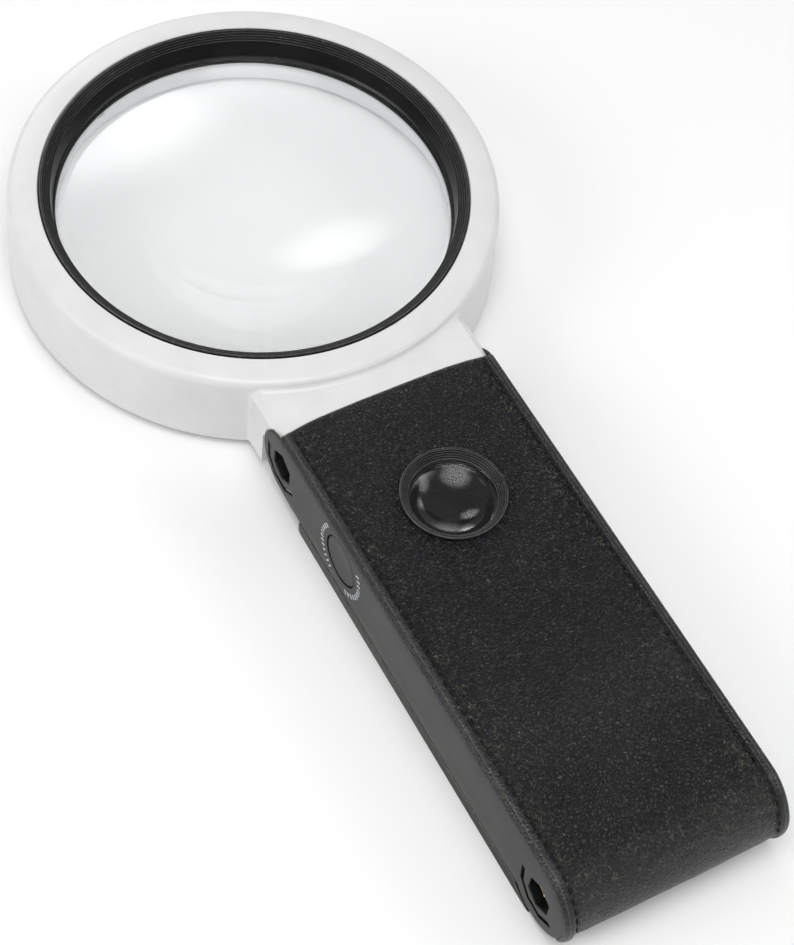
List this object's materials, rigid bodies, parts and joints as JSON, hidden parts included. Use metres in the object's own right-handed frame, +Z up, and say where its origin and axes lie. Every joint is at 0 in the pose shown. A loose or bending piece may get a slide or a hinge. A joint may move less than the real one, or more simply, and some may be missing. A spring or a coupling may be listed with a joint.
{
  "type": "hand lens",
  "caption": "Folding lighted magnifier: round lens head tilting on a leather-covered battery handle with a small second lens, side power button and fold-out stand leg.",
  "frame": {"origin": "bottom centre of the folded-flat object, on the underside of the stand leg", "axes": "+Y along the handle towards the lens head, +Z up out of the leather, +X to the side away from the power button"},
  "size_m": [0.131, 0.2813, 0.0271],
  "materials": {
    "white_plastic": "white, smooth, slightly glossy moulded plastic",
    "black_plastic": "black, satin moulded plastic",
    "grey_plastic": "dark grey, fine satin moulded plastic",
    "leather": "black grained leather with stitched borders",
    "rubber": "matt black rubber",
    "clear_lens": "clear polished optical acrylic",
    "milky_plastic": "translucent white plastic",
    "steel": "plated steel",
    "brass": "turned brass",
    "circuit_board": "green solder mask",
    "led_yellow": "clear body over yellow phosphor",
    "battery_sleeve": "plain printed sleeve",
    "washer_nylon": "natural nylon",
    "lead_sleeve": "soft red sleeve"
  },
  "bodies": {
    "handle": {"battery_1": "battery_sleeve", "battery_2": "battery_sleeve", "battery_3": "battery_sleeve", "battery_contact_front": "steel", "battery_contact_rear": "steel", "battery_door": "black_plastic", "battery_door_screw": "steel", "battery_spring_1": "steel", "battery_spring_2": "steel", "battery_spring_3": "steel", "control_board": "circuit_board", "handle_housing": "black_plastic", "handle_top_panel": "black_plastic", "housing_screw_1": "steel", "housing_screw_2": "steel", "housing_screw_3": "steel", "housing_screw_4": "steel", "lead_handle": "lead_sleeve", "leather_cover": "leather", "leg_bolt": "brass", "leg_nut": "brass", "leg_washer_left": "washer_nylon", "leg_washer_right": "washer_nylon", "side_plate_left": "grey_plastic", "side_plate_right": "grey_plastic", "small_lens": "clear_lens", "small_lens_bezel": "black_plastic", "small_lens_tube": "black_plastic", "tact_switch": "steel", "tilt_bolt": "brass", "tilt_nut": "brass", "tilt_washer_left": "washer_nylon", "tilt_washer_right": "washer_nylon"},
    "head": {"head_rear_cover": "white_plastic", "head_screw_1": "steel", "head_screw_2": "steel", "head_screw_3": "steel", "head_screw_4": "steel", "head_shell": "white_plastic", "lead_head": "lead_sleeve", "led_1": "led_yellow", "led_2": "led_yellow", "led_3": "led_yellow", "led_4": "led_yellow", "led_5": "led_yellow", "led_6": "led_yellow", "led_7": "led_yellow", "led_8": "led_yellow", "led_board": "circuit_board", "lens_retaining_ring": "black_plastic", "lens_seat_ring": "rubber", "light_diffuser": "milky_plastic", "main_lens": "clear_lens"},
    "stand_leg": {"stand_leg": "grey_plastic"},
    "power_button": {"power_button": "grey_plastic"}
  },
  "joints": [
    {"name": "head_tilt", "type": "hinge", "parent": "handle", "child": "head", "pos_m": [0, -0.00093, 0.01485], "axis": [-1, 0, 0], "range_deg": [0, 75]},
    {"name": "leg_swing", "type": "hinge", "parent": "handle", "child": "stand_leg", "pos_m": [0, -0.12823, 0.01275], "axis": [-1, 0, 0], "range_deg": [0, 65]},
    {"name": "button_press", "type": "slide", "parent": "handle", "child": "power_button", "axis": [1, 0, 0], "range_m": [0, 0.0006], "stiffness_N_per_m": 500, "springref_m": -0.001}
  ]
}
